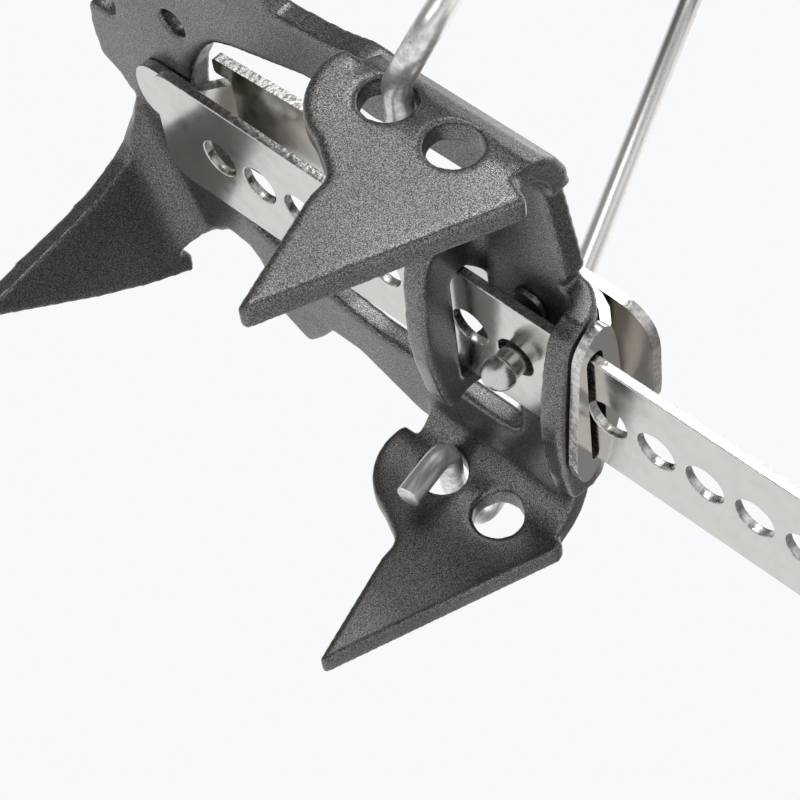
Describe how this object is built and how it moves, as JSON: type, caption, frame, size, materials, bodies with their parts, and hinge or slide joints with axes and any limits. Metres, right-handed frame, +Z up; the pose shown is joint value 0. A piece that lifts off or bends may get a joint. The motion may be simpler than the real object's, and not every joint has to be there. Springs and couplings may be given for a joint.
{
  "type": "strap crampon",
  "caption": "Strap-on crampon: spiked heel and toe plates joined by a perforated link bar, with wire bails and moulded boot cradles.",
  "frame": {"origin": "bottom centre of the box, on the plane of the spike tips", "axes": "+X from heel to toe, +Y to the left side of the boot, +Z up"},
  "size_m": [0.325, 0.1078, 0.1347],
  "materials": {
    "coated_steel": "fine grained dark grey coating",
    "nickel_plate": "bright nickel with sheared edges",
    "stainless": "satin, drawn lengthwise",
    "cradle_rubber": "matt moulded"
  },
  "bodies": {
    "heel": {"heel_frame": "coated_steel", "link_bar": "nickel_plate", "guide_plate": "nickel_plate", "guide_rivet_left": "stainless", "guide_rivet_right": "stainless", "pivot_rivet": "stainless", "pivot_spacer": "stainless", "pivot_washer": "stainless"},
    "lever": {"lock_lever": "nickel_plate", "lock_pin": "stainless"},
    "heel_bail": {"heel_wire": "stainless", "heel_cradle": "cradle_rubber", "heel_cradle_rivet_left_1": "stainless", "heel_cradle_rivet_left_2": "stainless", "heel_cradle_rivet_right_1": "stainless", "heel_cradle_rivet_right_2": "stainless"},
    "toe": {"toe_frame": "coated_steel"},
    "toe_bail": {"toe_wire": "stainless", "toe_cradle": "cradle_rubber", "toe_cradle_rivet_left_1": "stainless", "toe_cradle_rivet_left_2": "stainless", "toe_cradle_rivet_right_1": "stainless", "toe_cradle_rivet_right_2": "stainless"}
  },
  "joints": [
    {"name": "lock_lever_lift", "type": "hinge", "parent": "heel", "child": "lever", "pos_m": [-0.11867, 0, 0.03307], "axis": [0, -1, 0], "range_deg": [0, 7.5], "stiffness_Nm_per_rad": 8, "springref_deg": -1.72},
    {"name": "heel_bail_swing", "type": "hinge", "parent": "heel", "child": "heel_bail", "pos_m": [-0.07767, 0, 0.02957], "axis": [0, 1, 0], "range_deg": [-55, 85]},
    {"name": "toe_section_swing", "type": "hinge", "parent": "heel", "child": "toe", "pos_m": [0.04533, 0, 0.03472], "axis": [0, 0, 1], "range_deg": [-2.2, 2.2]},
    {"name": "toe_bail_swing", "type": "hinge", "parent": "toe", "child": "toe_bail", "pos_m": [0.09827, 0, 0.02957], "axis": [0, 1, 0], "range_deg": [-75, 30]}
  ]
}
